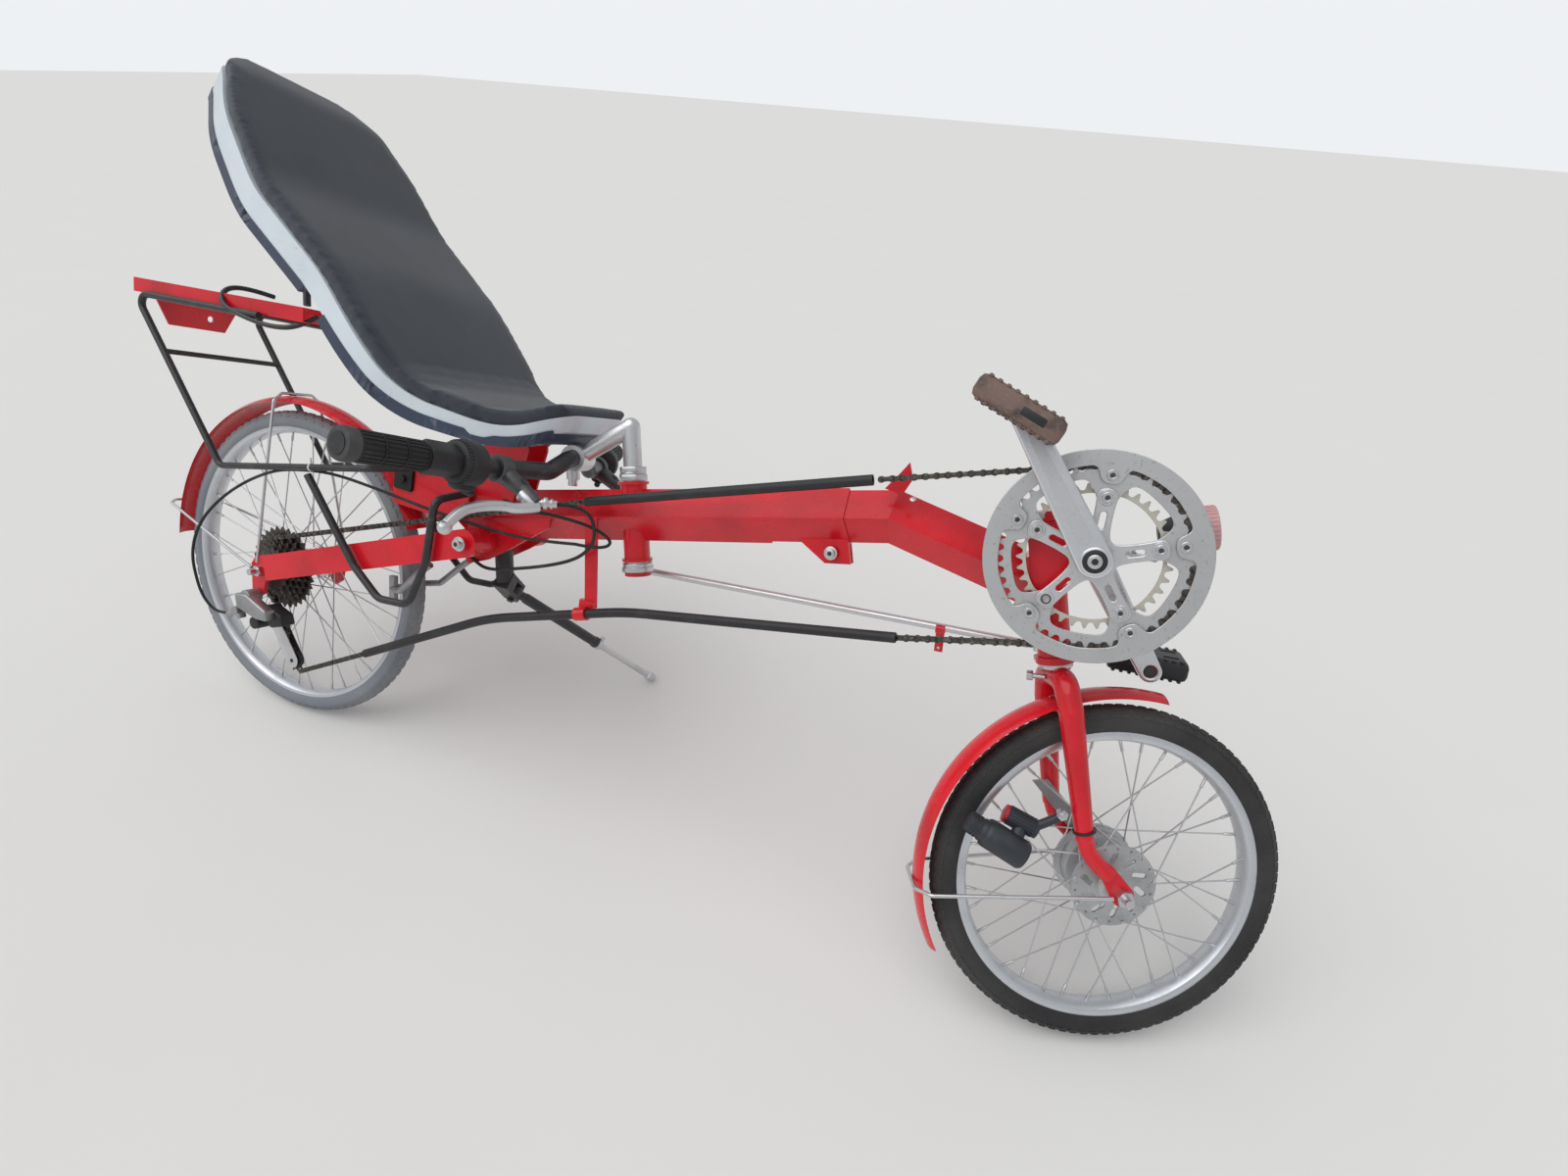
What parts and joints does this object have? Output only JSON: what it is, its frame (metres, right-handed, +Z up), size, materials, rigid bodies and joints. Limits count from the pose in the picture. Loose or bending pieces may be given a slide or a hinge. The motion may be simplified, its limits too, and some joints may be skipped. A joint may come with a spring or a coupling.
{
  "type": "recumbent bicycle",
  "caption": "Two-wheeled recumbent bicycle with a moulded foam-padded seat, under-seat bar, rod steering and a carrier, leaning on its side stand.",
  "frame": {"origin": "middle of the outline's foot, on the ground", "axes": "+X forward along the rear wheel's line, +Y to the rider's left, +Z up"},
  "size_m": [1.7902, 0.6306, 0.9426],
  "materials": {
    "red_paint": "gloss",
    "black_paint": "satin",
    "silver_alloy": "satin",
    "bright_steel": "bright",
    "dark_steel": "oily",
    "tyre_black": "matt",
    "foam_grey": "matt",
    "white_shell": "gloss",
    "blue_edge": "satin",
    "black_plastic": "matt",
    "black_rubber": "matt",
    "pedal_resin": "worn"
  },
  "bodies": {
    "frame": {"main_beam": "red_paint", "boom": "red_paint", "chain_keeper": "red_paint", "front_head_tube": "red_paint", "bottom_bracket": "red_paint", "mid_head_tube": "red_paint", "pivot_bracket": "red_paint", "rear_plates": "red_paint", "suspension_block": "black_rubber", "swingarm": "red_paint", "rear_axle": "bright_steel", "chain": "dark_steel", "chain_tubes": "black_plastic", "chain_strap": "red_paint", "rear_derailleur": "dark_steel", "rear_mudguard": "red_paint", "rear_stays": "bright_steel", "rear_brake": "black_plastic", "rack_rails": "red_paint", "rack_frame": "black_paint", "side_hoops": "black_paint", "seat_pad": "foam_grey", "seat_shell": "white_shell", "seat_edging": "blue_edge", "seat_bracket": "red_paint", "seat_stays": "black_paint", "head_lamp": "black_plastic", "lamp_bracket": "bright_steel", "stand_bracket": "black_paint"},
    "rear_wheel": {"rear_tyre": "tyre_black", "rear_rim": "silver_alloy", "rear_spokes": "bright_steel", "rear_hub": "silver_alloy", "sprockets": "dark_steel"},
    "fork": {"fork": "red_paint", "front_axle": "bright_steel", "front_brake": "black_plastic", "front_mudguard": "red_paint", "front_stay": "bright_steel", "dynamo": "black_plastic"},
    "front_wheel": {"front_tyre": "tyre_black", "front_rim": "silver_alloy", "front_spokes": "bright_steel", "front_hub": "silver_alloy"},
    "handlebar": {"stem": "silver_alloy", "handlebar": "black_paint", "grips": "black_rubber", "shifters": "black_plastic", "brake_levers": "silver_alloy", "steering_arm": "bright_steel"},
    "steering_rod": {"steering_rod": "bright_steel"},
    "crankset": {"cranks": "silver_alloy", "chainrings": "silver_alloy", "chain_guard": "silver_alloy", "ring_bolts": "bright_steel"},
    "pedal_right": {"pedal_right": "pedal_resin"},
    "pedal_left": {"pedal_left": "pedal_resin"},
    "kickstand": {"stand_leg": "silver_alloy", "stand_foot": "silver_alloy"}
  },
  "joints": [
    {"name": "rear_wheel", "type": "hinge", "parent": "frame", "child": "rear_wheel", "pos_m": [-0.61539, -0.08552, 0.23516], "axis": [0, 0.9205, -0.3907], "continuous": true},
    {"name": "fork", "type": "hinge", "parent": "frame", "child": "fork", "pos_m": [0.65871, -0.10792, 0.18237], "axis": [-0.3326, 0.3685, 0.8681], "range_deg": [-40, 0]},
    {"name": "front_wheel", "type": "hinge", "parent": "fork", "child": "front_wheel", "pos_m": [0.69239, -0.09132, 0.18822], "axis": [-0.3226, 0.8205, -0.4719], "continuous": true},
    {"name": "handlebar", "type": "hinge", "parent": "frame", "child": "handlebar", "pos_m": [-0.00809, 0.00549, 0.44955], "axis": [-0.2288, 0.3804, 0.8961], "range_deg": [-40, 0]},
    {"name": "steering_rod", "type": "hinge", "parent": "handlebar", "child": "steering_rod", "pos_m": [-0.00485, 0.01359, 0.3532], "axis": [-0.2288, 0.3804, 0.8961], "range_deg": [0, 40]},
    {"name": "crankset", "type": "hinge", "parent": "frame", "child": "crankset", "pos_m": [0.57204, 0.04321, 0.53842], "axis": [0, 0.9205, -0.3907], "continuous": true},
    {"name": "pedal_right", "type": "hinge", "parent": "crankset", "child": "pedal_right", "pos_m": [0.46293, 0.09415, 0.65842], "axis": [0, 0.9205, -0.3907], "continuous": true},
    {"name": "pedal_left", "type": "hinge", "parent": "crankset", "child": "pedal_left", "pos_m": [0.68114, -0.00773, 0.41841], "axis": [0, 0.9205, -0.3907], "continuous": true},
    {"name": "kickstand", "type": "hinge", "parent": "frame", "child": "kickstand", "pos_m": [-0.21332, -0.03466, 0.27818], "axis": [-0.0801, 0.8562, 0.5104], "range_deg": [0, 86]}
  ],
  "couplings": [
    {"joint": "handlebar", "follows": "fork", "ratio": 1},
    {"joint": "steering_rod", "follows": "fork", "ratio": -1}
  ]
}
